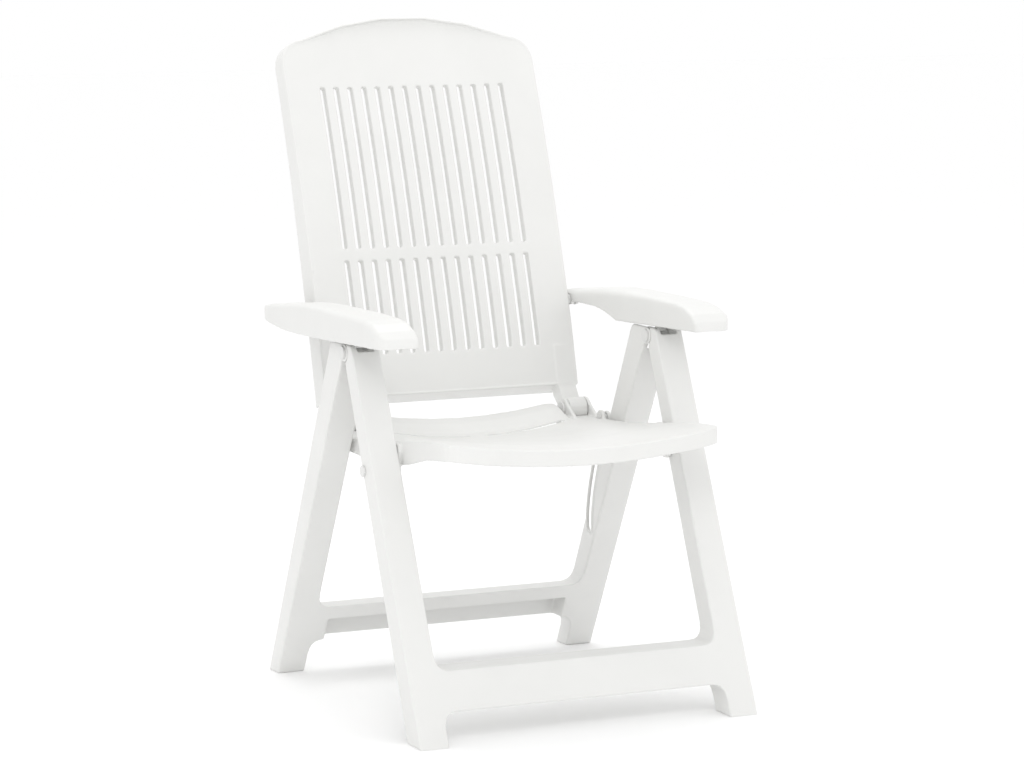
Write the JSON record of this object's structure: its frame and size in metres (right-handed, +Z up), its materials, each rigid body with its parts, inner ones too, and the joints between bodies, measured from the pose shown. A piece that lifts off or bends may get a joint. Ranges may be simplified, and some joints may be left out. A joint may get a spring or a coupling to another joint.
{
  "type": "folding reclining garden chair",
  "caption": "High-backed moulded plastic garden armchair on crossed legs, which folds flat and whose slatted back reclines as the arms slide forward over notches.",
  "frame": {"origin": "on the ground, in the middle of the whole chair's width and depth, with the chair upright", "axes": "+Z up, -Y the way the sitter faces, +X to the sitter's left"},
  "size_m": [0.6158, 0.7848, 1.0928],
  "materials": {
    "white_plastic": "fine satin grain of moulded polypropylene",
    "pin_plastic": "smooth, slightly glossier than the body"
  },
  "bodies": {
    "front_frame": {"front_frame": "white_plastic", "left_leg_pivot_pin": "pin_plastic", "left_leg_pivot_cap": "pin_plastic", "left_seat_pivot_pin": "pin_plastic", "left_seat_pivot_clip": "pin_plastic", "right_leg_pivot_pin": "pin_plastic", "right_leg_pivot_cap": "pin_plastic", "right_seat_pivot_pin": "pin_plastic", "right_seat_pivot_clip": "pin_plastic"},
    "rear_frame": {"rear_frame": "white_plastic"},
    "seat": {"seat_shell": "white_plastic", "left_slide_pin": "pin_plastic", "left_slide_roller": "pin_plastic", "right_slide_pin": "pin_plastic", "right_slide_roller": "pin_plastic"},
    "hinge_pins": {"left_back_hinge_pin": "pin_plastic", "left_back_hinge_clip": "pin_plastic", "right_back_hinge_pin": "pin_plastic", "right_back_hinge_clip": "pin_plastic"},
    "back": {"back_panel": "white_plastic"},
    "arm_pins": {"left_arm_pivot_pin": "pin_plastic", "left_arm_pivot_clip": "pin_plastic", "right_arm_pivot_pin": "pin_plastic", "right_arm_pivot_clip": "pin_plastic"},
    "left_arm": {"left_armrest": "white_plastic"},
    "right_arm": {"right_armrest": "white_plastic"}
  },
  "joints": [
    {"name": "leg_fold", "type": "hinge", "parent": "front_frame", "child": "rear_frame", "pos_m": [0, -0.08639, 0.58], "axis": [-1, 0, 0], "range_deg": [0, 39]},
    {"name": "seat_fold", "type": "hinge", "parent": "front_frame", "child": "seat", "pos_m": [0, -0.17039, 0.402], "axis": [-1, 0, 0], "range_deg": [0, 90]},
    {"name": "back_fold", "type": "hinge", "parent": "seat", "child": "hinge_pins", "pos_m": [0, 0.11261, 0.434], "axis": [1, 0, 0], "range_deg": [0, 90]},
    {"name": "back_recline", "type": "hinge", "parent": "hinge_pins", "child": "back", "pos_m": [0, 0.11261, 0.434], "axis": [-1, 0, 0], "range_deg": [0, 36]},
    {"name": "arm_fold", "type": "hinge", "parent": "back", "child": "arm_pins", "pos_m": [0, 0.19662, 0.612], "axis": [-1, 0, 0], "range_deg": [0, 90]},
    {"name": "left_arm_tilt", "type": "hinge", "parent": "arm_pins", "child": "left_arm", "pos_m": [0, 0.19662, 0.612], "axis": [1, 0, 0], "range_deg": [0, 23.2]},
    {"name": "right_arm_tilt", "type": "hinge", "parent": "arm_pins", "child": "right_arm", "pos_m": [0, 0.19662, 0.612], "axis": [1, 0, 0], "range_deg": [0, 23.2]}
  ],
  "couplings": [
    {"joint": "seat_fold", "follows": "leg_fold", "ratio": 2.3076},
    {"joint": "back_fold", "follows": "leg_fold", "ratio": 2.3076},
    {"joint": "arm_fold", "follows": "leg_fold", "ratio": 2.3076},
    {"joint": "left_arm_tilt", "follows": "back_recline", "ratio": 0.644},
    {"joint": "right_arm_tilt", "follows": "back_recline", "ratio": 0.644}
  ]
}
